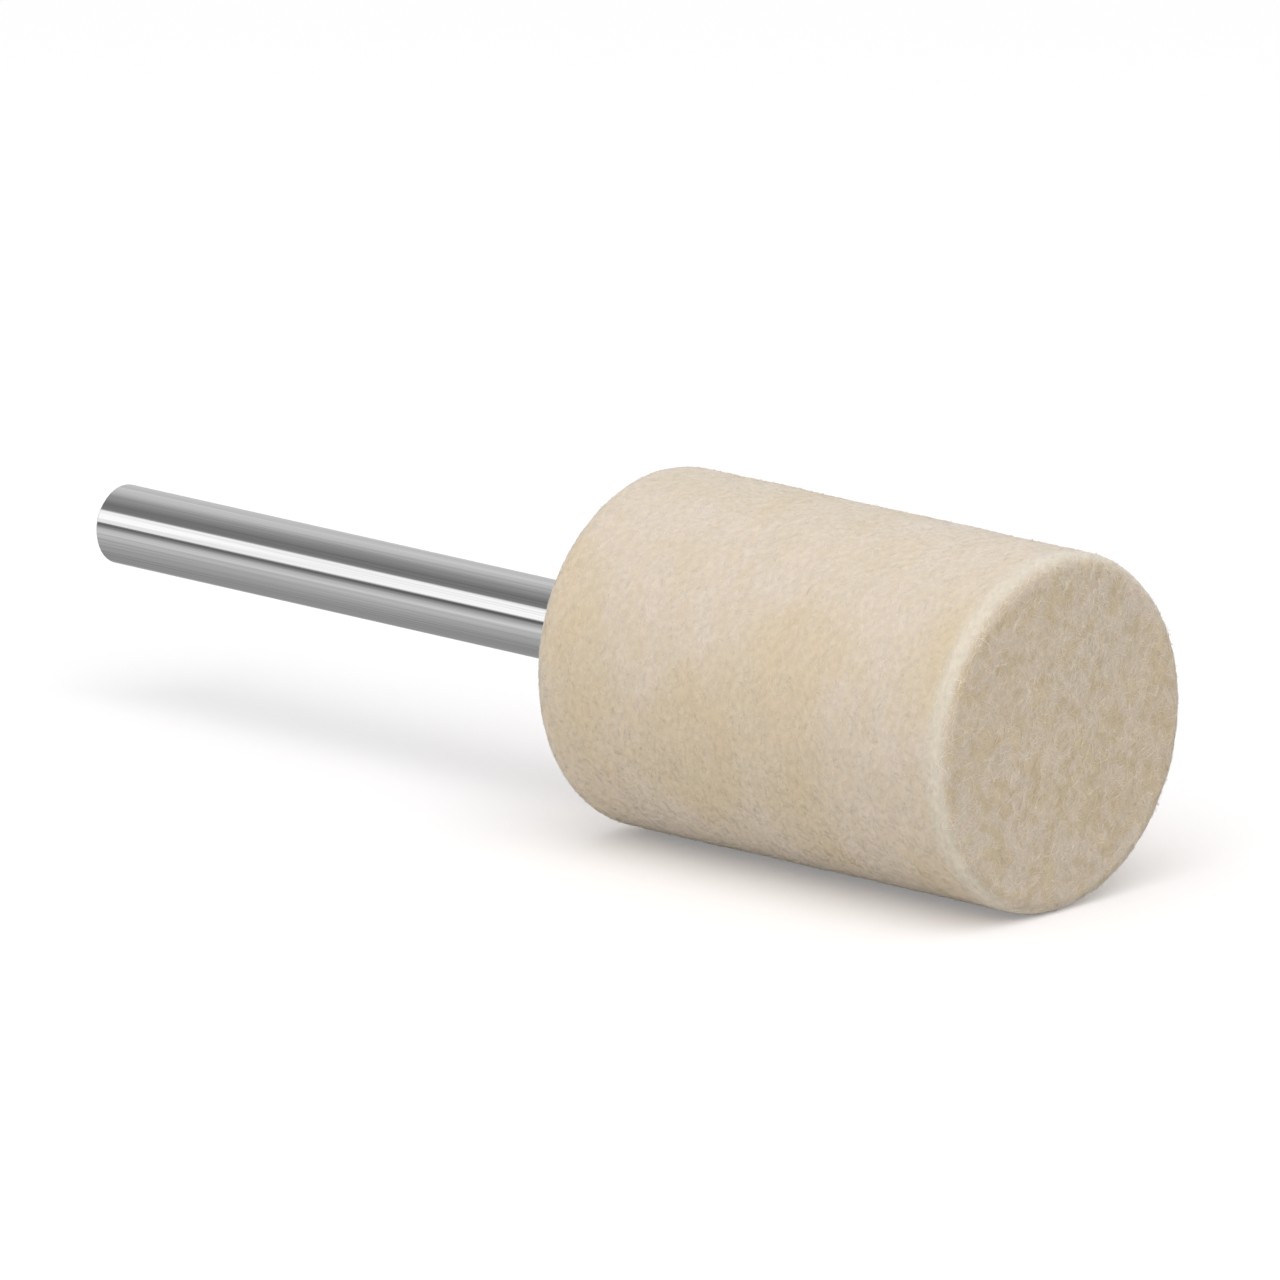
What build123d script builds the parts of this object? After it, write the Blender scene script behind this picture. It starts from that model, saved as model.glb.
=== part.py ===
"""Mounted felt bob: a pressed wool felt cylinder cemented on a plain steel mandrel.

Row frame, in millimetres: the spin axis is Y. The origin is on that axis, in the plane of
the felt's rear face, where the mandrel enters the felt. The felt lies at -Y and ends in the
flat working face, and the bare shank that a collet grips lies at +Y. +Z is up.

Three pieces, each in its own node:
  felt_bob       the felt cylinder, with the blind hole that the mandrel is cemented into
  mandrel        the stepped steel pin: bare shank outside, thinner keyed seat inside the felt
  cement_sleeve  the set cement between them, a cup that fills the hole round the seat
"""
import os
from math import radians, tan

from build123d import *

# Felt cylinder
FELT_DIAMETER = 13.5
FELT_LENGTH = 20.4
FELT_REAR_ROUND = 1.0        # radius of the rim next to the shank
FELT_FACE_ROUND = 0.6        # radius of the rim round the working face

# Mandrel: a ground shank and a turned-down seat, whose shoulder stops against the felt
SHANK_DIAMETER = 3.0
SHANK_LENGTH = 26.7          # from the felt's rear face to the tail
SEAT_STEP = 0.35             # how far the seat is turned down below the shank's surface
SEAT_LENGTH = 13.3           # from the shoulder to the nose inside the felt
TAIL_CHAMFER = 0.2           # leg of the chamfer on the end that goes into the collet
NOSE_CHAMFER = 0.4           # leg of the chamfer on the end inside the felt

# Keying on the seat: ring grooves and a straight knurl that the cement sets into
RING_GROOVES = 2
RING_GROOVE_RADIUS = 0.2     # round section of each groove
RING_GROOVE_INSET = 1.2      # from the felt's rear face to the first groove's middle
RING_GROOVE_PITCH = 1.2
KNURL_INSET = 4.0            # from the felt's rear face to where the knurl starts
KNURL_NOSE_INSET = 2.3       # from where the knurl ends to the pin's nose
KNURL_TEETH = 20
KNURL_DEPTH = 0.12
KNURL_ANGLE = 90.0           # included angle of each V in the knurl, in degrees

# Blind hole in the felt and the cement in it
# The cement is thinner than the seat's step, so the shoulder covers the mouth of the hole.
CEMENT_THICKNESS = 0.15      # radial gap between the seat and the hole's wall
CEMENT_POCKET = 0.5          # depth of the hole's straight wall past the pin's nose
DRILL_POINT_ANGLE = 118.0    # included angle of the hole's conical end, in degrees

felt_radius = FELT_DIAMETER / 2
shank_radius = SHANK_DIAMETER / 2
seat_radius = shank_radius - SEAT_STEP
knurl_length = SEAT_LENGTH - KNURL_INSET - KNURL_NOSE_INSET
hole_radius = seat_radius + CEMENT_THICKNESS
hole_depth = SEAT_LENGTH + CEMENT_POCKET
hole_point = hole_radius / tan(radians(DRILL_POINT_ANGLE / 2))


def turned(*outline):
    """A solid of revolution about Y, from (radius, y) points in order."""
    return revolve(make_face(Polyline(*outline, close=True)), axis=Axis.Y)


def rim(solid, y):
    """The widest circular edge of a turned solid in the plane at y."""
    circles = solid.edges().filter_by(GeomType.CIRCLE)
    return circles.filter_by_position(Axis.Y, y, y).sort_by(SortBy.RADIUS)[-1]


def hole_space():
    """The drilled blind hole, from the felt's rear face to the tip of its cone."""
    return turned((0, 0), (hole_radius, 0), (hole_radius, -hole_depth), (0, -hole_depth - hole_point))


def felt_bob():
    blank = turned((0, 0), (felt_radius, 0), (felt_radius, -FELT_LENGTH), (0, -FELT_LENGTH))
    blank = fillet(rim(blank, 0), FELT_REAR_ROUND)
    blank = fillet(rim(blank, -FELT_LENGTH), FELT_FACE_ROUND)
    return blank - hole_space()


def ring_groove(y):
    """A ring of round section about Y, whose middle runs along the seat's surface."""
    return Pos(0, y, 0) * Rot(90, 0, 0) * Torus(seat_radius, RING_GROOVE_RADIUS)


def knurl_cut(angle):
    """One V of the knurl, open outwards, at that angle about Y."""
    bottom = seat_radius - KNURL_DEPTH
    # The V is carried on past the surface by its own depth, so that it cuts cleanly.
    top = seat_radius + KNURL_DEPTH
    half_width = (top - bottom) * tan(radians(KNURL_ANGLE / 2))
    section = Polyline((bottom, 0), (top, half_width), (top, -half_width), close=True)
    # Plane.XZ faces -Y, so a positive extrusion runs deeper into the felt.
    prism = extrude(Plane.XZ * make_face(section), knurl_length)
    return Rot(0, angle, 0) * Pos(0, -KNURL_INSET, 0) * prism


def mandrel():
    nose = -SEAT_LENGTH
    pin = turned(
        (0, SHANK_LENGTH),
        (shank_radius - TAIL_CHAMFER, SHANK_LENGTH),
        (shank_radius, SHANK_LENGTH - TAIL_CHAMFER),
        (shank_radius, 0),
        (seat_radius, 0),
        (seat_radius, nose + NOSE_CHAMFER),
        (seat_radius - NOSE_CHAMFER, nose),
        (0, nose),
    )
    for groove in range(RING_GROOVES):
        pin -= ring_groove(-RING_GROOVE_INSET - groove * RING_GROOVE_PITCH)
    for tooth in range(KNURL_TEETH):
        pin -= knurl_cut(360 * tooth / KNURL_TEETH)
    return pin


def cement_sleeve(pin):
    """What the hole holds besides the pin."""
    return hole_space() - pin


def main():
    os.makedirs("parts", exist_ok=True)
    pin = mandrel()
    nodes = {
        "felt_bob": felt_bob(),
        "mandrel": pin,
        "cement_sleeve": cement_sleeve(pin),
    }
    for name, shape in nodes.items():
        export_step(shape, f"parts/{name}.step")


main()
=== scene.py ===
# %% [markdown]
# # A mounted felt bob
# A bob of pressed wool felt on a steel mandrel, 47 mm long over all. The real one is made of
# three pieces: a felt cylinder, a steel pin, and the cement between them. Blender loads the
# CAD pieces in metres. The pin and the cement keep their CAD shape and get a finish here. The
# felt is made again, because its look is in its surface: wool fibres pressed into a block.

# %% Load the CAD frame
import math

import bmesh
import bpy
import numpy as np
from mathutils import Matrix, Vector


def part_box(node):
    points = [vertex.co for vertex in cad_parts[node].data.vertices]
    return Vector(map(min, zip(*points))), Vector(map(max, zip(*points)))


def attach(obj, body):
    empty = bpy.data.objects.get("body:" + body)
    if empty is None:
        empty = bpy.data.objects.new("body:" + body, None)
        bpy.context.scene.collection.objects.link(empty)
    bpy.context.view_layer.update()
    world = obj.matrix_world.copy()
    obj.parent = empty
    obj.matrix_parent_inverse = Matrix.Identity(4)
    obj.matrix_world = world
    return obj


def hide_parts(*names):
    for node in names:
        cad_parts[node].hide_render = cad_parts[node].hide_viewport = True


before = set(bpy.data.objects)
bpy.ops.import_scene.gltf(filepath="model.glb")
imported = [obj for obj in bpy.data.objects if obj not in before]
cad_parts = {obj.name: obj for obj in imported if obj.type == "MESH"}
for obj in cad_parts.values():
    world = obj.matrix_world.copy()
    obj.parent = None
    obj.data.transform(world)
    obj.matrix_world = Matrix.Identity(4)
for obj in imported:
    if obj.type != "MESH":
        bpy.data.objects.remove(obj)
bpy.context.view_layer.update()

MM = 0.001

print("nodes", sorted(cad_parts))

# %% [markdown]
# ## Sizes
# The felt's own box says how long and wide the bob is, and the pin's box says where the shank
# ends. The spin axis is Y, and the felt's rear face is the plane y = 0, where the shank leaves
# it. Only sizes that a box can't tell, such as how round the rims are, are written here.

# %% Sizes from the frame
felt_low, felt_high = (Vector(corner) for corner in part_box("felt_bob"))
pin_high = Vector(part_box("mandrel")[1])
cement_low, cement_high = (Vector(corner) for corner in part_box("cement_sleeve"))

felt_radius = felt_high.z
face_y = felt_low.y
rear_y = felt_high.y
shank_radius = pin_high.z
hole_radius = cement_high.z
hole_end_y = cement_low.y

FACE_ROUND = 0.6 * MM
REAR_ROUND = 1.0 * MM
HOLE_CONE = 0.78 * MM        # depth of the cone at the blind end of the hole

print(f"felt {2 * felt_radius / MM:.1f} mm across, {(rear_y - face_y) / MM:.1f} mm long")

# %% [markdown]
# ## The camera
# A small thing looks its true shape from far away, through a long lens that keeps its sides
# parallel. The camera looks down a little, with the working face turned towards it.

# %% Camera
CAMERA_TURN = math.radians(-48.0)
CAMERA_HEIGHT = math.radians(14.5)
CAMERA_DISTANCE = 1.316
CAMERA_LENS = 1000
AIM_RIGHT = -0.34 * MM       # where the view's centre lies, from the origin
AIM_UP = 0.08 * MM

back = Vector((
    math.sin(CAMERA_TURN) * math.cos(CAMERA_HEIGHT),
    -math.cos(CAMERA_TURN) * math.cos(CAMERA_HEIGHT),
    math.sin(CAMERA_HEIGHT),
))
right = Vector((math.cos(CAMERA_TURN), math.sin(CAMERA_TURN), 0))
up = back.cross(right)

camera_data = bpy.data.cameras.new("camera")
camera_data.lens = CAMERA_LENS
camera_data.clip_start = 0.01
camera_data.clip_end = 20
camera = bpy.data.objects.new("camera", camera_data)
camera.location = right * AIM_RIGHT + up * AIM_UP + back * CAMERA_DISTANCE
camera.rotation_euler = back.to_track_quat("Z", "Y").to_euler()
bpy.context.collection.objects.link(camera)
bpy.context.scene.camera = camera
print("camera at", [round(v, 3) for v in camera.location])

# %% [markdown]
# ## The felt's skin
# Relief, fibres and colours all lie on one skin: the rounded cylinder that the felt was turned
# to. So the first helper finds, for any point near the felt, the nearest way out of the skin and
# how far the point is from it. Everything that is laid on the felt is brought to the skin by it.
# A ring of test places round the middle of the side tries several of the felt's helpers.


# %% Skin
def skin(points):
    """For points in metres: their distance outside the felt's skin, and the skin's normal there."""
    radius = np.hypot(points[:, 0], points[:, 2])
    outward = points[:, (0, 2)] / np.maximum(radius, 1e-9)[:, None]
    y = points[:, 1]
    across = radius - felt_radius
    distance = across.copy()
    lean = np.stack([np.ones_like(y), np.zeros_like(y)], 1)
    for end_y, way, round_size in ((face_y, -1, FACE_ROUND), (rear_y, 1, REAR_ROUND)):
        along = (y - end_y) * way
        # Nearer to the end face than to the side.
        flat = along > across
        distance[flat] = along[flat]
        lean[flat] = (0, way)
        # Past both of the rim's tangent lines, the rim's own round is nearest.
        from_centre = np.stack([across + round_size, along + round_size], 1)
        corner = (from_centre > 0).all(1)
        length = np.linalg.norm(from_centre[corner], axis=1)
        distance[corner] = length - round_size
        lean[corner] = from_centre[corner] / length[:, None] * (1, way)
    normal = np.stack([outward[:, 0] * lean[:, 0], lean[:, 1], outward[:, 1] * lean[:, 0]], 1)
    return distance, normal


test_angle = np.linspace(0, math.tau, 360, endpoint=False)
test_ring = np.stack([
    felt_radius * np.cos(test_angle),
    np.full(len(test_angle), (face_y + rear_y) / 2),
    felt_radius * np.sin(test_angle),
], 1)
print(f"the test ring lies {np.abs(skin(test_ring)[0]).max() / MM:.4f} mm from the skin")

# %% [markdown]
# ## Random heights
# Wool lies in tufts, with soft lumps under them, and no two places are alike. A sum of sixty
# plane waves in random ways gives smooth heights anywhere in space. Image textures could do
# it too, but these have no seams, and mesh and colours can both ask for the same height at a
# place. Each layer has its own seed, so that every run draws the same felt.

# %% Random heights
SEED_FINE_TUFTS = 11
SEED_BROAD_TUFTS = 12
SEED_SWELL = 13
SEED_SMALL_YELLOW = 14
SEED_FINE_GAP_SHADE = 15
SEED_BROAD_GAP_SHADE = 16
SEED_TONE = 21
SEED_HAIRS = 31
SEED_YELLOW_PATCHES = 612


def waves(points, seed, size, stretch=(1, 1, 1), count=60):
    """Smooth random heights, mostly from -2 to 2, whose bumps are about size across."""
    rng = np.random.default_rng(seed)
    way = rng.normal(size=(count, 3))
    way /= np.linalg.norm(way, axis=1)[:, None]
    way *= (math.tau / (2 * size * rng.uniform(0.7, 1.4, count)))[:, None]
    start = rng.uniform(0, math.tau, count)
    total = np.zeros(len(points))
    stretched = points / np.array(stretch)
    for direction, phase in zip(way, start):
        total += np.cos(stretched @ direction + phase)
    return total / math.sqrt(count / 2)


def smoothstep(low, high, value):
    t = np.clip((value - low) / (high - low), 0, 1)
    return t * t * (3 - 2 * t)


test_waves = waves(test_ring, SEED_SWELL, 2.2 * MM)
print(f"random heights round the ring: {test_waves.min():.2f} to {test_waves.max():.2f}")

# %% [markdown]
# ## Tufts, gaps and yellow patches
# The cut face is rough, and soft tan spots are painted on it as shade in the gaps between its
# tufts. Its rim has a pale band, partly worn short fibres and partly a painted highlight where
# the fuzz catches light. The side is smooth, with shallow gaps between its tufts, a little
# painted shade in them, and yellow patches drawn out round the bob, the way it was turned.
# These are functions of the place, so that the block and the loose hairs on it agree.

# %% Tufts, gaps and yellow patches
TUFT_STRETCH = (1.4, 1, 1.4)
PATCH_STRETCH = (1.7, 1, 1.7)
SIDE_RELIEF = 0.0045 * MM    # how deep the gaps between tufts go on the side
FACE_RELIEF = 0.018 * MM     # and on the working face
SWELL = 0.008 * MM
TUFT_TOP = 0.75              # the part of a tuft's height that lies in the skin itself


def regions(points):
    """How much each point lies on the working face and on the rim's wear and painted highlight."""
    _, normal = skin(points)
    on_face = smoothstep(0.75, 0.98, -normal[:, 1])
    near_face = 1 - smoothstep(0.4 * MM, 1.1 * MM, points[:, 1] - face_y)
    # The pale rim band: worn short fibres and a painted highlight where the fuzz catches light.
    rim_wear_and_highlight = near_face * (1 - smoothstep(0.70, 0.92, -normal[:, 1]))
    return on_face, rim_wear_and_highlight


def clumps(points):
    """Where wool stands in a tuft (1) and where there is a gap between tufts (0)."""
    fine = waves(points, SEED_FINE_TUFTS, 0.14 * MM, TUFT_STRETCH)
    broad = waves(points, SEED_BROAD_TUFTS, 0.45 * MM, TUFT_STRETCH)
    return smoothstep(-1.6, 1.2, 0.6 * fine + 0.8 * broad)


def painted_gap_shade(points):
    """Painted shade in the gaps between tufts, as soft tan spots, most of all on the face."""
    on_face, _ = regions(points)
    fine = waves(points, SEED_FINE_GAP_SHADE, 0.30 * MM)
    broad = waves(points, SEED_BROAD_GAP_SHADE, 0.9 * MM)
    return smoothstep(0.1, 1.6, fine + 0.7 * broad) * (0.12 + 0.88 * on_face)


def yellowing(points):
    """How yellow the wool has gone there: half as much on the cut face as on the side."""
    on_face, _ = regions(points)
    broad = smoothstep(-0.4, 1.6, waves(points, SEED_YELLOW_PATCHES, 2.8 * MM, PATCH_STRETCH))
    small = smoothstep(-0.4, 1.6, waves(points, SEED_SMALL_YELLOW, 0.9 * MM, PATCH_STRETCH))
    return (0.65 * broad + 0.25 * small) * (1 - 0.5 * on_face)


def relief(points):
    """How far the felt stands out of its skin, in metres."""
    on_face, _ = regions(points)
    deep = SIDE_RELIEF + (FACE_RELIEF - SIDE_RELIEF) * on_face
    swell = waves(points, SEED_SWELL, 2.2 * MM) * SWELL
    # The wool is pressed tight where the shank's shoulder stops against it.
    from_axis = np.hypot(points[:, 0], points[:, 2])
    loose = smoothstep(shank_radius, shank_radius + 0.8 * MM, from_axis)
    at_rear = smoothstep(-1.0 * MM, -0.2 * MM, points[:, 1] - rear_y)
    return ((clumps(points) - TUFT_TOP) * deep + swell) * (1 - at_rear * (1 - loose))


test_relief = relief(test_ring)
print(f"relief round the ring: {test_relief.min() / MM:.3f} to {test_relief.max() / MM:.3f} mm")
print(f"yellowing round the ring: {yellowing(test_ring).mean():.2f} on average")

# %% [markdown]
# ## The felt block
# The block is turned, so half of its outline is spun round the axis. The outline starts as its
# few corners, vertex bevels round the two rims, and the long runs are cut into short steps so
# that the spun surface has a vertex about every eighth of a millimetre: enough for the real
# lumps and gaps of pressed wool to be shape, not paint. The blind hole for the pin is part of
# the outline, so the block is hollow where the real one is.

# %% Felt block
STEP = 0.122 * MM
AROUND = 348
RIM_SEGMENTS = 8
INSIDE = hole_radius * 1.01  # nearer to the axis than this is the hole, which stays plain
NEAR = 0.01 * MM


def mesh_of(bm, name):
    """Ends a bmesh by writing it to a new mesh."""
    mesh = bpy.data.meshes.new(name)
    bm.to_mesh(mesh)
    bm.free()
    return mesh


def object_of(mesh, name):
    made = bpy.data.objects.new(name, mesh)
    bpy.context.collection.objects.link(made)
    return made


def triangle_count(mesh):
    return sum(len(polygon.vertices) - 2 for polygon in mesh.polygons)


def cut_runs(bm, step, reach):
    """Cuts each edge of the outline that lies farther out than reach into steps."""
    for edge in list(bm.edges):
        out = max(vertex.co.x for vertex in edge.verts)
        cuts = round(edge.calc_length() / step) - 1
        if out > reach and cuts > 0:
            bmesh.ops.subdivide_edges(bm, edges=[edge], cuts=cuts)


def block_mesh():
    bm = bmesh.new()
    outline = [
        (0, face_y), (felt_radius, face_y), (felt_radius, rear_y), (hole_radius, rear_y),
        (hole_radius, hole_end_y + HOLE_CONE), (0, hole_end_y),
    ]
    corners = [bm.verts.new((radius, y, 0)) for radius, y in outline]
    for start, end in zip(corners, corners[1:]):
        bm.edges.new((start, end))
    for corner, size in ((corners[1], FACE_ROUND), (corners[2], REAR_ROUND)):
        bmesh.ops.bevel(
            bm, geom=[corner], offset=size, offset_type="OFFSET", segments=RIM_SEGMENTS,
            profile=0.5, affect="VERTICES", material=-1,
        )
    cut_runs(bm, STEP, INSIDE)
    bmesh.ops.spin(
        bm, geom=bm.verts[:] + bm.edges[:], cent=(0, 0, 0), axis=(0, 1, 0), dvec=(0, 0, 0),
        angle=math.tau, steps=AROUND, use_merge=True, use_duplicate=False,
    )
    bmesh.ops.remove_doubles(bm, verts=bm.verts[:], dist=0.002 * MM)
    bmesh.ops.recalc_face_normals(bm, faces=bm.faces[:])
    return mesh_of(bm, "felt_block")


def coordinates(mesh):
    flat = np.empty(len(mesh.vertices) * 3)
    mesh.vertices.foreach_get("co", flat)
    return flat.reshape(-1, 3)


block = block_mesh()
points = coordinates(block)
distance, normal = skin(points)
outside = np.abs(distance) < NEAR
outside &= np.hypot(points[:, 0], points[:, 2]) > INSIDE
outside |= points[:, 1] < face_y + NEAR
raised = np.where(outside, relief(points), 0)
block.vertices.foreach_set("co", (points + normal * raised[:, None]).ravel())
print(f"felt block: {len(points)} vertices, {triangle_count(block)} triangles")

# %% [markdown]
# ## Helpers for materials
# All colours here are made of a few kinds of node: a mix, a product, a smooth step and a noise.
# Each gets a helper that adds it to a node tree and hands back its output, so that a material
# reads like a recipe. Textures painted by hand could do the same, but would need a map.


# %% Helpers for materials
def link(tree, source, target):
    tree.links.new(source, target)


def node(tree, kind, **settings):
    made = tree.nodes.new(kind)
    for name, value in settings.items():
        setattr(made, name, value)
    return made


def mix_colour(tree, factor, first, second, blend="MIX"):
    """A colour mix. Each input is a socket or a plain value."""
    made = node(tree, "ShaderNodeMix", data_type="RGBA", blend_type=blend)
    sockets = (made.inputs[0], made.inputs[6], made.inputs[7])
    for socket, value in zip(sockets, (factor, first, second)):
        if isinstance(value, bpy.types.NodeSocket):
            link(tree, value, socket)
        else:
            socket.default_value = value
    return made.outputs[2]


def scaled(tree, value, factor):
    """A value times a plain number."""
    made = node(tree, "ShaderNodeMath", operation="MULTIPLY")
    made.inputs[1].default_value = factor
    link(tree, value, made.inputs[0])
    return made.outputs[0]


def ramp(tree, value, low, high, to_low=0.0, to_high=1.0):
    """A smooth step of a value from to_low at low to to_high at high."""
    made = node(tree, "ShaderNodeMapRange", interpolation_type="SMOOTHSTEP")
    for socket, number in zip(made.inputs[1:5], (low, high, to_low, to_high)):
        socket.default_value = number
    link(tree, value, made.inputs[0])
    return made.outputs[0]


def place_on_bob(tree):
    return node(tree, "ShaderNodeTexCoord").outputs["Object"]


def noise(tree, coordinate, size, stretch=(1, 1, 1), detail=2.0):
    """Noise whose blotches are about size metres across, drawn out by stretch."""
    drawn_out = node(tree, "ShaderNodeMapping", vector_type="TEXTURE")
    drawn_out.inputs["Scale"].default_value = stretch
    link(tree, coordinate, drawn_out.inputs["Vector"])
    made = node(tree, "ShaderNodeTexNoise")
    made.inputs["Scale"].default_value = 1 / size
    made.inputs["Detail"].default_value = detail
    link(tree, drawn_out.outputs[0], made.inputs["Vector"])
    return made.outputs["Fac"]


print("material helpers: link, node, mix_colour, scaled, ramp, place_on_bob, noise")

# %% [markdown]
# ## The wool's colour
# Undyed wool is a warm off-white that goes yellow in soft patches, with fine streaks round the
# bob. Painted on it are a pale rim band, partly worn fibres and partly a painted highlight,
# and tan painted shade where gaps between the tufts are deep. The patches belong to the place
# on the bob and not to one piece, so the block and its loose hairs share them through one node
# group. It takes the masks as inputs, because the mesh already knows where its gaps are.

# %% The wool's colour
CREAM = (0.72, 0.615, 0.492, 1)
PINKISH = (0.74, 0.63, 0.522, 1)
YELLOWED = (0.705, 0.577, 0.40, 1)
# Painted shade: this tan stands in for the shade in the gaps between tufts.
TAN_SHADE = (0.605, 0.47, 0.28, 1)
# Partly painted highlight: the pale of the rim band is worn fibres and light caught by the fuzz.
PALE_WEAR_AND_HIGHLIGHT = (0.755, 0.675, 0.555, 1)
STREAK_SHARE = 0.16          # the most that a streak takes of the yellowed colour
GAP_SHADE_SHARE = 0.62             # the most that a gap takes of the tan
RIM_WEAR_AND_HIGHLIGHT_SHARE = 0.85             # the most that the rim takes of the pale


def wool_group():
    """Node group: wool colour from masks: rim wear with painted highlight, painted gap shade, yellow.
    """
    tree = bpy.data.node_groups.new("wool colour", "ShaderNodeTree")
    for mask in ("Rim Wear And Highlight", "Gap Shade", "Yellow"):
        tree.interface.new_socket(mask, in_out="INPUT", socket_type="NodeSocketFloat")
    tree.interface.new_socket("Color", in_out="OUTPUT", socket_type="NodeSocketColor")
    masks = node(tree, "NodeGroupInput").outputs
    place = place_on_bob(tree)
    pink = ramp(tree, noise(tree, place, 2.4 * MM), 0.40, 0.62)
    streak = ramp(tree, noise(tree, place, 0.4 * MM, (5, 1, 5), 3), 0.35, 0.70, 0.0, STREAK_SHARE)
    colour = mix_colour(tree, pink, CREAM, PINKISH)
    colour = mix_colour(tree, masks["Yellow"], colour, YELLOWED)
    colour = mix_colour(tree, streak, colour, YELLOWED)
    # Painted shade: tan where the gaps between tufts lie.
    colour = mix_colour(tree, scaled(tree, masks["Gap Shade"], GAP_SHADE_SHARE), colour, TAN_SHADE)
    # The pale rim: worn fibres and a painted highlight.
    colour = mix_colour(tree, scaled(tree, masks["Rim Wear And Highlight"], RIM_WEAR_AND_HIGHLIGHT_SHARE), colour, PALE_WEAR_AND_HIGHLIGHT)
    link(tree, colour, node(tree, "NodeGroupOutput").inputs["Color"])
    return tree


wool = wool_group()
print(f"wool colour: a group of {len(wool.nodes)} nodes")

# %% [markdown]
# ## Wool as a material
# Pressed wool lets light in a little way and gives it back warmer, and its fuzz catches light at
# a grazing angle. Subsurface scattering does the first and sheen the second. The loose hairs
# have no subsurface, because in a tube so thin it loses the light and leaves the hair grey.
# Their tone runs brighter than the block's, as painted light for the light that a thin hair lets
# through, and a few of them are brighter still.

# %% Wool as a material
WOOL_ROUGHNESS = 0.95
WOOL_SPECULAR = 0.15
WOOL_SHEEN = 0.4
LIGHT_REACH = (1.0, 0.8, 0.6)        # how far red, green and blue spread inside, as shares
LIGHT_DEPTH = 0.15 * MM              # of this depth


def new_material(name):
    material = bpy.data.materials.new(name)
    material.use_nodes = True
    tree = material.node_tree
    return material, tree, tree.nodes["Principled BSDF"]


def attribute(tree, name):
    return node(tree, "ShaderNodeAttribute", attribute_name=name).outputs["Fac"]


def times_grey(tree, colour, grey):
    """A colour times a grey value."""
    made = node(tree, "ShaderNodeCombineColor")
    for channel in made.inputs:
        link(tree, grey, channel)
    return mix_colour(tree, 1.0, colour, made.outputs[0], "MULTIPLY")


def wool_material(name, tone_low, tone_high, glow):
    """Wool whose tone attribute runs the colour from tone_low to tone_high of its own.

    glow is the share of the light that spreads inside the wool before it comes out."""
    material, tree, shader = new_material(name)
    colour = node(tree, "ShaderNodeGroup", node_tree=wool)
    for socket, source in (("Rim Wear And Highlight", "rim_wear_and_highlight"), ("Gap Shade", "gap_shade"), ("Yellow", "yellow")):
        link(tree, attribute(tree, source), colour.inputs[socket])
    tone = ramp(tree, attribute(tree, "tone"), 0, 1, tone_low, tone_high)
    link(tree, times_grey(tree, colour.outputs["Color"], tone), shader.inputs["Base Color"])
    shader.inputs["Roughness"].default_value = WOOL_ROUGHNESS
    shader.inputs["Specular IOR Level"].default_value = WOOL_SPECULAR
    shader.inputs["Sheen Weight"].default_value = WOOL_SHEEN
    shader.inputs["Sheen Roughness"].default_value = WOOL_SHEEN
    shader.inputs["Subsurface Weight"].default_value = glow
    shader.inputs["Subsurface Radius"].default_value = LIGHT_REACH
    shader.inputs["Subsurface Scale"].default_value = LIGHT_DEPTH
    return material


felt_material = wool_material("pressed_wool", 0.94, 1.02, 0.4)
# Painted light: the hairs' brighter tone stands in for the light that comes through thin hairs.
painted_lit_hair_material = wool_material("loose_wool_painted_lit", 0.985, 1.24, 0.0)
print("wool materials:", felt_material.name, "and", painted_lit_hair_material.name)

# %% [markdown]
# ## Finishing the block
# The block's masks could be painted or drawn by nodes, but its gaps are real hollows in the mesh.
# So each vertex is told what it is: on the pale rim, with its wear and painted highlight, in a
# gap, where tan shade is painted, yellowed, dark or light. The same step makes a mesh into a
# piece that rides on the one body.

# %% Finishing the block
# Painted shade between tufts, less of it on the side than on the face.
SIDE_GAP_SHADE = 0.27             # how much of the tan shows between tufts on the side, next to the face


def give_attribute(mesh, name, values):
    layer = mesh.attributes.new(name, "FLOAT", "POINT")
    layer.data.foreach_set("value", values.astype(np.float32))


def finished(name, mesh, material):
    """Makes mesh a smooth piece of felt, in the place of the CAD one."""
    mesh.polygons.foreach_set("use_smooth", np.ones(len(mesh.polygons), bool))
    mesh.materials.append(material)
    mesh.update()
    piece = object_of(mesh, name)
    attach(piece, "root")
    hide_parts("felt_bob")
    return piece


on_face, rim_wear_and_highlight = regions(points)
# Painted shade: the hollows between tufts are coloured tan, most of all on the face.
shade_between_tufts = 1 - smoothstep(0.1, 0.75, clumps(points))
shade_between_tufts *= SIDE_GAP_SHADE + (1 - SIDE_GAP_SHADE) * on_face
gap_shade = np.maximum(shade_between_tufts, painted_gap_shade(points))
# The rim attribute: worn fibres and a painted highlight.
give_attribute(block, "rim_wear_and_highlight", rim_wear_and_highlight)
give_attribute(block, "yellow", yellowing(points))
give_attribute(block, "gap_shade", gap_shade)
give_attribute(block, "tone", smoothstep(-2, 2, waves(points, SEED_TONE, 0.16 * MM)))
finished("felt_block", block, felt_material)
print(f"gaps: {gap_shade[on_face > 0.5].mean():.2f} on the face, {gap_shade[on_face < 0.5].mean():.2f} elsewhere")

# %% [markdown]
# ## One hair of the nap
# What makes felt look like felt is the nap: thousands of fine wool hairs that lie on the
# surface in all directions, each curled, with both ends worked into the block. Hair particles
# could draw them, but they leave no mesh. So one hair is modelled as a thin closed tube of
# three sides, with one or two rings where it can bend. It has its own map, three strips and two
# ends, so that its colours can be baked without unwrapping every copy.

# %% One hair
STRIP = 0.8                  # share of its third of the map that a side of the hair fills
STRIP_EDGE = 0.1             # what is left free on both edges of the strip


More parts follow.
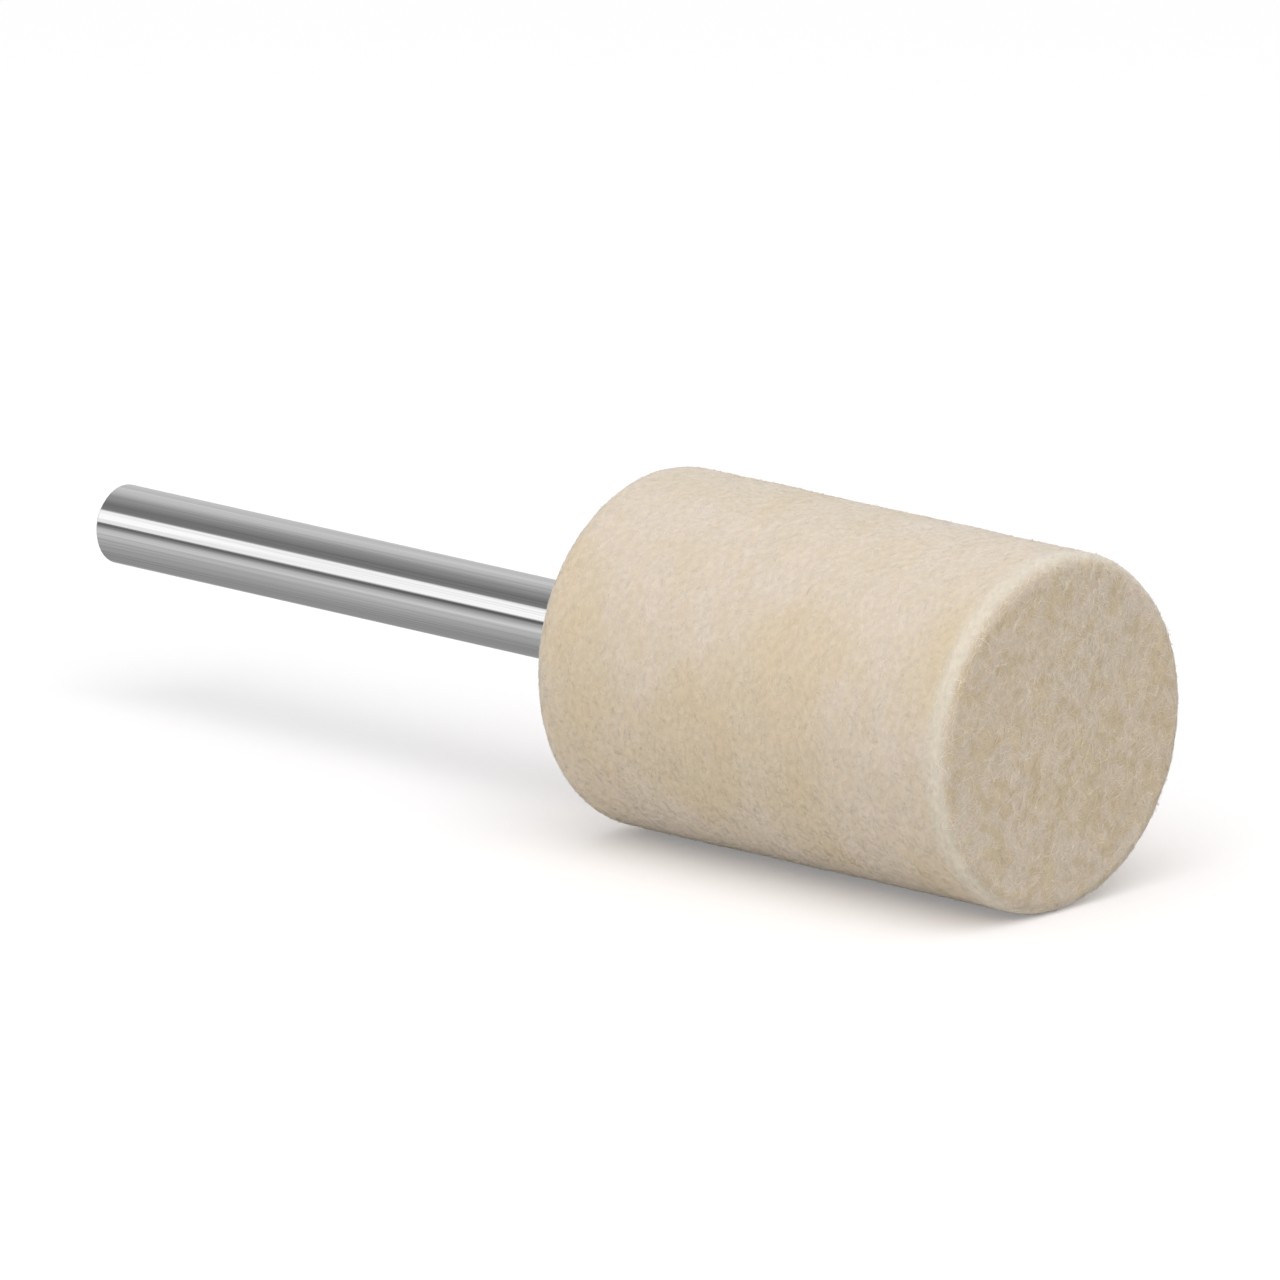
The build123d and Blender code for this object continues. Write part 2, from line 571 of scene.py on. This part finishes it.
def hair_template(bends):
    """A closed tube along X, one long and one in radius, with rings where it can bend."""
    bm = bmesh.new()
    bmesh.ops.create_cone(bm, cap_ends=True, segments=3, radius1=1, radius2=1, depth=1)
    quarter = Matrix.Rotation(math.pi / 2, 3, "Y")
    bmesh.ops.rotate(bm, verts=bm.verts[:], cent=(0, 0, 0), matrix=quarter)
    long_edges = [e for e in bm.edges if abs(e.verts[0].co.x - e.verts[1].co.x) > 0.5]
    bmesh.ops.subdivide_edges(bm, edges=long_edges, cuts=bends)
    bmesh.ops.recalc_face_normals(bm, faces=bm.faces[:])
    bake_map = bm.loops.layers.uv.new("OFBake")
    for face in bm.faces:
        middle = face.calc_center_median()
        is_end = abs(middle.x) > 0.49
        strip = int(math.atan2(middle.z, middle.y) % math.tau / (math.tau / 3) + 0.01)
        for corner, loop in enumerate(face.loops):
            co = loop.vert.co
            if is_end:
                # The end faces have their own places beyond both ends of the strips.
                inward = 0.07 if corner == 1 else 0.0
                along = 0.5 + math.copysign(0.5 - inward, middle.x)
                across = corner * 1.2 + 0.3
            else:
                is_upper = middle.y * co.z > middle.z * co.y
                along = 0.5 + STRIP * co.x
                across = strip + STRIP_EDGE + STRIP * is_upper
            loop[bake_map].uv = along, across / 3
    return mesh_of(bm, "hair")


short_hair = hair_template(bends=1)
long_hair = hair_template(bends=2)
for hair in (short_hair, long_hair):
    print(f"one hair: {triangle_count(hair)} triangles")

# %% [markdown]
# ## Strewing
# Hairs fall evenly by area all over the felt, round its rims too. A place is drawn as a length
# along the felt's outline, from the middle of the face over both rims to the shank, and as an
# angle round the axis. The outline's length and its swept area are added up once in small steps,
# so that any stretch of it can be strewn evenly without an equation for each round and flat.

# %% Strewing
PATH_STEP = 0.01 * MM
RIM_POINTS = 17


def outline_path():
    """Radius and y in short steps along the felt's outline, from its face's middle to the shank."""
    turn = np.linspace(0, math.pi / 2, RIM_POINTS)
    front_radius = felt_radius - FACE_ROUND * (1 - np.sin(turn))
    rear_radius = felt_radius - REAR_ROUND * (1 - np.cos(turn))
    front_y = face_y + FACE_ROUND * (1 - np.cos(turn))
    rear_round_y = rear_y - REAR_ROUND * (1 - np.sin(turn))
    radius = np.concatenate([[0], front_radius, rear_radius, [shank_radius]])
    y = np.concatenate([[face_y], front_y, rear_round_y, [rear_y]])
    length = np.concatenate([[0], np.cumsum(np.hypot(np.diff(radius), np.diff(y)))])
    path = np.arange(0, length[-1], PATH_STEP)
    return path, np.interp(path, length, radius), np.interp(path, length, y)


path, path_radius, path_y = outline_path()
path_area = np.cumsum(path_radius)
# The middles of both rounds, as lengths along the outline.
front_rim = felt_radius - FACE_ROUND * (1 - math.pi / 4)
rear_rim = path[-1] - (felt_radius - shank_radius) + REAR_ROUND * (1 - math.pi / 4)


def strewn(rng, count, start, end):
    """count places between two distances along the outline, spread evenly by area."""
    first, last = np.interp((start, end), path, path_area)
    place = np.interp(rng.uniform(first, last, count), path_area, path)
    radius = np.interp(place, path, path_radius)
    angle = rng.uniform(0, math.tau, count)
    y = np.interp(place, path, path_y)
    return np.stack([radius * np.cos(angle), y, radius * np.sin(angle)], 1)


print(f"outline {path[-1] / MM:.1f} mm long, rims at {front_rim / MM:.1f} and {rear_rim / MM:.1f} mm")

# %% [markdown]
# ## Laying
# A hair in the nap is pressed flat, bows sideways, arches a little, and has both ends worked
# in. Each hair starts straight, is turned and bowed along the skin, and is then brought back to
# the skin at every ring, so that it follows the felt's lumps and the rims. Its shading leans
# most of the way to the skin's, because the light in real nap goes through a hair to the wool
# under it.

# %% Laying
SINK = 0.010 * MM            # how deep a hair's ends are worked into the felt
FLATNESS = 0.35              # height of a pressed hair, as a share of its width
ROUNDNESS = 0.4              # of a hair's shading: 0 shades like the felt under it
END_THINNESS = 0.05          # section that is left at a hair's ends


def onto_skin(at, height):
    """Moves points so that they stand that high above the felt's skin."""
    for _ in range(2):
        distance, normal = skin(at)
        at = at + normal * (height - distance)[:, None]
    return at, normal


def laid(shape, centres, turn, length, width, lift, curl):
    """Vertices and shading normals of hairs of that shape, laid on the skin.

    Each hair has its own turn, length, width, lift and curl."""
    count = len(centres)
    centres, normal = onto_skin(centres, 0)
    # One way along the skin runs round the bob, and the other crosses it.
    round_way = np.cross((0.0, 1.0, 0.0), centres)
    round_way /= np.linalg.norm(round_way, axis=1)[:, None]
    cross_way = np.cross(normal, round_way)
    way = round_way * np.cos(turn)[:, None] + cross_way * np.sin(turn)[:, None]
    side = np.cross(normal, way)
    along = shape[:, 0]
    from_middle = (2 * along) ** 2
    thin = np.sqrt(np.clip(1 + END_THINNESS - from_middle, END_THINNESS, 1))
    step = along[None, :, None] * length[:, None, None]
    bow = from_middle[None, :, None] * (curl * length)[:, None, None]
    line = (centres[:, None] + way[:, None] * step + side[:, None] * bow).reshape(-1, 3)
    arch = lift[:, None] * (1 - from_middle)[None, :] - SINK
    line, out = onto_skin(line, relief(line) + arch.ravel())
    # One of the tube's three edges points out of the felt.
    ring = out * FLATNESS * np.tile(shape[:, 1], count)[:, None]
    ring -= np.repeat(side, len(shape), 0) * np.tile(shape[:, 2], count)[:, None]
    offset = np.tile(thin, count) * np.repeat(width / 2, len(shape))
    shading = out + ROUNDNESS * ring
    shading /= np.linalg.norm(shading, axis=1)[:, None]
    return line + ring * offset[:, None], shading


test_height = relief(test_ring)
lifted_ring, _ = onto_skin(test_ring, test_height)
miss = np.abs(skin(lifted_ring)[0] - test_height).max()
print(f"the test ring is lifted to its relief within {miss / MM:.6f} mm")

# %% [markdown]
# ## One piece of nap
# An Array modifier copies the hair, which is quick for thousands of them, and the copies are
# then laid on the skin. Fewer stay in the gaps between tufts. A piece holds no more hairs than
# a viewer loads with ease, so the side has several. The hairs cast no shadow of their own,
# because thin wool lets nearly all the light through.

# %% One piece of nap
GAP_KEEP = 0.25              # share of the hairs that stay in the deepest gap
# Painted shade: a hair over a gap takes some of the gap's tan.
HAIR_TAN_SHADE = 0.8               # how tan a hair over a gap is, next to the gap itself
CELL_SHARE = 0.9             # share of its cell of the common map that a hair fills


def copies(mesh, count):
    """count copies of mesh in one mesh, one after the other."""
    source = object_of(mesh, "hair_source")
    array = source.modifiers.new("copies", "ARRAY")
    array.count = count
    array.use_relative_offset = False
    depsgraph = bpy.context.evaluated_depsgraph_get()
    whole = bpy.data.meshes.new_from_object(source.evaluated_get(depsgraph))
    bpy.data.objects.remove(source)
    return whole


def spread_map(mesh, count):
    """Gives each of the count hairs its own cell of the map that they share."""
    columns = math.ceil(math.sqrt(count))
    uv = np.empty(len(mesh.loops) * 2)
    layer = mesh.uv_layers["OFBake"].data
    layer.foreach_get("uv", uv)
    hair = np.arange(count)
    corner = np.stack([hair % columns, hair // columns], 1) / columns
    spread = uv.reshape(count, -1, 2) * CELL_SHARE / columns + corner[:, None]
    layer.foreach_set("uv", spread.ravel().astype(np.float32))


def nap(name, rng, hair, centres, lean, length, width, lift, curl, dullness=3):
    """One piece of nap. lean is how far the hairs turn from running round the bob.

    The greater dullness is, the fewer hairs are bright."""
    shape = coordinates(hair)
    keep = rng.uniform(0, 1, len(centres)) < GAP_KEEP + (1 - GAP_KEEP) * clumps(centres)
    centres = centres[keep]
    count = len(centres)
    lengths = length * rng.lognormal(0, 0.35, count)
    widths = width * rng.uniform(0.7, 1.3, count)
    lifts = lift * (1 + rng.exponential(1.0, count))
    curls = curl * rng.normal(size=count)
    turns = lean(rng, centres)
    place, shading = laid(shape, centres, turns, lengths, widths, lifts, curls)
    mesh = copies(hair, count)
    mesh.vertices.foreach_set("co", place.ravel())
    mesh.name = name
    spread_map(mesh, count)
    # The rim mask carries wear and a painted highlight, and the gap mask carries painted shade.
    masks = {
        "rim_wear_and_highlight": regions(centres)[1],
        "yellow": yellowing(centres),
        "gap_shade": HAIR_TAN_SHADE * painted_gap_shade(centres),
        "tone": rng.uniform(0, 1, count) ** dullness,
    }
    for mask, values in masks.items():
        give_attribute(mesh, mask, np.repeat(values, len(shape)))
    piece = finished(name, mesh, painted_lit_hair_material)
    mesh.normals_split_custom_set_from_vertices(shading)
    piece.visible_shadow = False
    print(f"{name}: {count} hairs, {triangle_count(mesh)} triangles")


def round_the_bob(rng, centres):
    """Mostly round the bob, the way it was turned."""
    return rng.normal(0, 0.7, len(centres))


def every_way(rng, centres):
    """Any way, apart from a small swirl round the axis that the cutter left."""
    count = len(centres)
    free = smoothstep(0.6 * MM, 1.6 * MM, np.hypot(centres[:, 0], centres[:, 2]))
    return rng.uniform(-math.pi, math.pi, count) * free + rng.normal(0, 0.3, count)


rng = np.random.default_rng(SEED_HAIRS)
print("hairs are drawn from seed", SEED_HAIRS)

# %% [markdown]
# ## The nap of the side
# The side is sanded while the bob turns, so its hairs are short and lean round the bob. Most
# lie flat and dull. A few shorter, finer and brighter wisps stand a little higher, and give the
# side its grain.

# %% The nap of the side
SIDE_PIECES = 5
SIDE_HAIRS = 16500
SIDE_WISPS = 9000
for number in range(SIDE_PIECES):
    nap(
        f"side_nap_{number + 1}", rng, short_hair,
        strewn(rng, SIDE_HAIRS, front_rim, rear_rim), round_the_bob,
        length=0.38 * MM, width=0.024 * MM, lift=0.009 * MM, curl=0.12,
    )
nap(
    "side_wisps", rng, short_hair,
    strewn(rng, SIDE_WISPS, front_rim, rear_rim), round_the_bob,
    length=0.24 * MM, width=0.021 * MM, lift=0.016 * MM, curl=0.2, dullness=0.6,
)

# %% [markdown]
# ## The nap of the ends
# The working face is cut across, which pulls longer hairs out of the block. They lie in every
# direction over the tan spots, with bright wisps among them, and swirl a little at the middle.
# The rear face is plainer and gets one piece of short nap, as far in as the shank.

# %% The nap of the ends
FACE_PIECES = 2
FACE_HAIRS = 12500
FACE_WISPS = 5200
REAR_HAIRS = 14000
nap(
    "face_wisps", rng, long_hair,
    strewn(rng, FACE_WISPS, 0, front_rim), every_way,
    length=0.62 * MM, width=0.021 * MM, lift=0.03 * MM, curl=0.22, dullness=0.6,
)
for number in range(FACE_PIECES):
    nap(
        f"face_nap_{number + 1}", rng, long_hair,
        strewn(rng, FACE_HAIRS, 0, front_rim), every_way,
        length=0.55 * MM, width=0.026 * MM, lift=0.012 * MM, curl=0.16,
    )
nap(
    "rear_nap", rng, short_hair,
    strewn(rng, REAR_HAIRS, rear_rim, path[-1]), every_way,
    length=0.38 * MM, width=0.024 * MM, lift=0.009 * MM, curl=0.14,
)

# %% [markdown]
# ## The steel pin
# The shank is ground between wheels, which leaves fine scratches along it, and then polished.
# The tail was faced on a lathe, so its scratches are rings. Both are noise: drawn out along the
# axis on the shank, and read by the distance from the axis on the tail. They change the grey
# and the gloss, with a slight bump. Scratches as geometry would be far too many and too fine.

# %% Ground steel
LIGHT_STEEL = (0.62, 0.62, 0.625, 1)
DARK_STEEL = (0.50, 0.50, 0.51, 1)
DARK_SHARE = 0.5             # the most that a dark band takes of the darker steel


def steel_material():
    material, tree, shader = new_material("ground_steel")
    place = place_on_bob(tree)
    axes = node(tree, "ShaderNodeSeparateXYZ")
    link(tree, place, axes.inputs[0])
    flat = node(tree, "ShaderNodeVectorMath", operation="MULTIPLY")
    flat.inputs[1].default_value = (1, 0, 1)
    link(tree, place, flat.inputs[0])
    radius = node(tree, "ShaderNodeVectorMath", operation="LENGTH")
    link(tree, flat.outputs[0], radius.inputs[0])
    from_axis = node(tree, "ShaderNodeCombineXYZ")
    link(tree, radius.outputs["Value"], from_axis.inputs["X"])
    rings = noise(tree, from_axis.outputs[0], 0.05 * MM, detail=3)
    tail_y = pin_high.y
    at_tail = ramp(tree, axes.outputs["Y"], tail_y - 0.02 * MM, tail_y - 0.01 * MM)
    along = noise(tree, place, 0.06 * MM, (1, 300, 1), 3)
    either = node(tree, "ShaderNodeMix", data_type="FLOAT")
    sockets = (either.inputs[0], either.inputs[2], either.inputs[3])
    for socket, source in zip(sockets, (at_tail, along, rings)):
        link(tree, source, socket)
    scratch = either.outputs[0]
    band = ramp(tree, noise(tree, place, 0.35 * MM, (1, 120, 1), 1), 0.3, 0.7, 0.0, DARK_SHARE)
    grey = ramp(tree, scratch, 0.3, 0.7, 0.80, 1.0)
    colour = times_grey(tree, mix_colour(tree, band, LIGHT_STEEL, DARK_STEEL), grey)
    link(tree, colour, shader.inputs["Base Color"])
    shader.inputs["Metallic"].default_value = 1.0
    link(tree, ramp(tree, scratch, 0.3, 0.7, 0.05, 0.09), shader.inputs["Roughness"])
    bump = node(tree, "ShaderNodeBump")
    bump.inputs["Strength"].default_value = 0.12
    bump.inputs["Distance"].default_value = 0.004 * MM
    link(tree, scratch, bump.inputs["Height"])
    link(tree, bump.outputs[0], shader.inputs["Normal"])
    return material


def refinish(node_name, material):
    """Gives a CAD node's own mesh a better material, with its shape left alone."""
    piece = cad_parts[node_name]
    for material_slot in piece.material_slots:
        material_slot.material = material
    print(f"{node_name}: {material.name}")


refinish("mandrel", steel_material())

# %% [markdown]
# ## The cement
# It is sealed inside, but the part comes apart in a viewer, so it is finished too: an amber
# glue with paler clouds where air was stirred in. Soft noise gives the clouds, and they are
# duller than the clear glue.

# %% Amber cement
CLEAR_GLUE = (0.46, 0.30, 0.10, 1)
CLOUDY_GLUE = (0.62, 0.48, 0.24, 1)


def cement_material():
    material, tree, shader = new_material("amber_cement")
    cloud = ramp(tree, noise(tree, place_on_bob(tree), 0.8 * MM, (1, 2, 1), 4), 0.35, 0.65)
    link(tree, mix_colour(tree, cloud, CLEAR_GLUE, CLOUDY_GLUE), shader.inputs["Base Color"])
    link(tree, ramp(tree, cloud, 0, 1, 0.3, 0.5), shader.inputs["Roughness"])
    return material


refinish("cement_sleeve", cement_material())

# %% [markdown]
# ## The floor
# A plain white floor that the felt lies on. It is bright enough to read as white, so only the
# soft shadow shows on it. It has two colours, one that the camera sees and one that lights the
# bob from below, and a little glow for the camera alone, so that a white floor needn't make the
# felt's underside too bright.

# %% Floor
FLOOR_SIZE = 3.0
SEEN = (0.82, 0.79, 0.775, 1)        # the floor's colour as the camera sees it
BOUNCED = (0.79, 0.77, 0.74, 1)      # and as it lights the bob from below
FLOOR_GLOW = (0.24, 0.24, 0.24, 1)


def floor_material():
    material, tree, shader = new_material("white_floor")
    seen = node(tree, "ShaderNodeLightPath").outputs["Is Camera Ray"]
    link(tree, mix_colour(tree, seen, BOUNCED, SEEN), shader.inputs["Base Color"])
    link(tree, seen, shader.inputs["Emission Strength"])
    shader.inputs["Emission Color"].default_value = FLOOR_GLOW
    shader.inputs["Roughness"].default_value = 1.0
    shader.inputs["Specular IOR Level"].default_value = 0.0
    return material


floor_bm = bmesh.new()
bmesh.ops.create_grid(floor_bm, x_segments=1, y_segments=1, size=FLOOR_SIZE)
bmesh.ops.translate(floor_bm, verts=floor_bm.verts[:], vec=(0, 0, felt_low.z))
floor = object_of(mesh_of(floor_bm, "floor"), "floor")
floor.data.materials.append(floor_material())
floor.visible_glossy = False
print(f"floor at z = {felt_low.z / MM:.2f} mm")

# %% [markdown]
# ## The light
# Even light comes from a pale dome. One large soft light, high up on the camera's side, shades
# the felt from its top to its underside, as a soft box over a product table does. The steel
# doesn't reflect that light itself: what it reflects comes next.

# %% Light
DOME_COLOUR = (0.96, 0.98, 1.0, 1)
DOME_STRENGTH = 0.60
KEY_WAY = Vector((-0.40, -0.32, 0.86))
KEY_DISTANCE = 0.8
KEY_SIZE = 0.9
KEY_POWER = 4.7
KEY_COLOUR = (0.965, 0.985, 1.02)

world = bpy.data.worlds.new("dome")
world.use_nodes = True
background = world.node_tree.nodes["Background"]
background.inputs["Color"].default_value = DOME_COLOUR
background.inputs["Strength"].default_value = DOME_STRENGTH
bpy.context.scene.world = world
bpy.context.scene.view_settings.view_transform = "Standard"

key_data = bpy.data.lights.new("key", "AREA")
key_data.shape = "SQUARE"
key_data.size = KEY_SIZE
key_data.energy = KEY_POWER
key_data.color = KEY_COLOUR
key = object_of(key_data, "key")
key.location = KEY_WAY.normalized() * KEY_DISTANCE
key.rotation_euler = KEY_WAY.to_track_quat("Z", "Y").to_euler()
key.visible_glossy = False
print(f"key light {KEY_SIZE} m square, {KEY_DISTANCE} m away, {KEY_POWER} W")

# %% [markdown]
# ## What the steel reflects
# A polished round bar shows the whole studio round it, squeezed into bands along it. So a tube
# of light stands round the bob for reflections only. Its brightness changes with the angle
# round the bar: a bright soft box over the near horizon, a dark gap, and a grey ceiling and
# floor. Real light boxes could stand there, but a tube keeps each band the same all along.

# %% What the steel reflects
TENT_RADIUS = 0.45
TENT_LENGTH = 3.0
TENT_SEGMENTS = 96
BRIGHTEST = 1.65
# Angle in degrees from +X towards +Z, and brightness there.
STUDIO = (
    (0, 0.72), (30, 0.80), (47, 1.00), (63, 0.84), (82, 0.58), (98, 0.42), (112, 0.30),
    (126, 0.34), (134, 0.40), (137, 1.62), (169, 1.62), (172, 0.30), (176, 0.18), (181, 0.42),
    (188, 0.72), (199, 1.06), (207, 0.92), (216, 0.76), (228, 0.68), (244, 0.56), (275, 0.46),
    (310, 0.40), (360, 0.72),
)


def tent_material():
    material, tree, _ = new_material("studio_reflection")
    tree.nodes.clear()
    axes = node(tree, "ShaderNodeSeparateXYZ")
    link(tree, place_on_bob(tree), axes.inputs[0])
    angle = node(tree, "ShaderNodeMath", operation="ARCTAN2")
    link(tree, axes.outputs["Z"], angle.inputs[0])
    link(tree, axes.outputs["X"], angle.inputs[1])
    turn = node(tree, "ShaderNodeMath", operation="FRACT")
    link(tree, scaled(tree, angle.outputs[0], 1 / math.tau), turn.inputs[0])
    bands = node(tree, "ShaderNodeValToRGB")
    elements = bands.color_ramp.elements
    for degrees, _ in STUDIO[1:-1]:
        elements.new(degrees / 360)
    for element, (degrees, bright) in zip(elements, STUDIO):
        element.position = degrees / 360
        element.color = (*[bright / BRIGHTEST] * 3, 1)
    link(tree, turn.outputs[0], bands.inputs[0])
    glow = node(tree, "ShaderNodeEmission")
    glow.inputs["Strength"].default_value = BRIGHTEST
    link(tree, bands.outputs["Color"], glow.inputs["Color"])
    link(tree, glow.outputs[0], node(tree, "ShaderNodeOutputMaterial").inputs["Surface"])
    return material


tent_bm = bmesh.new()
bmesh.ops.create_cone(
    tent_bm, cap_ends=False, segments=TENT_SEGMENTS, radius1=TENT_RADIUS, radius2=TENT_RADIUS,
    depth=TENT_LENGTH,
)
bmesh.ops.rotate(
    tent_bm, verts=tent_bm.verts[:], cent=(0, 0, 0), matrix=Matrix.Rotation(math.pi / 2, 3, "X"),
)
tent = object_of(mesh_of(tent_bm, "studio_tent"), "studio_tent")
tent.data.materials.append(tent_material())
for kind in ("camera", "diffuse", "transmission", "volume_scatter", "shadow"):
    setattr(tent, f"visible_{kind}", False)
print(f"reflection tube {2 * TENT_RADIUS} m across, with {len(STUDIO)} steps of brightness")
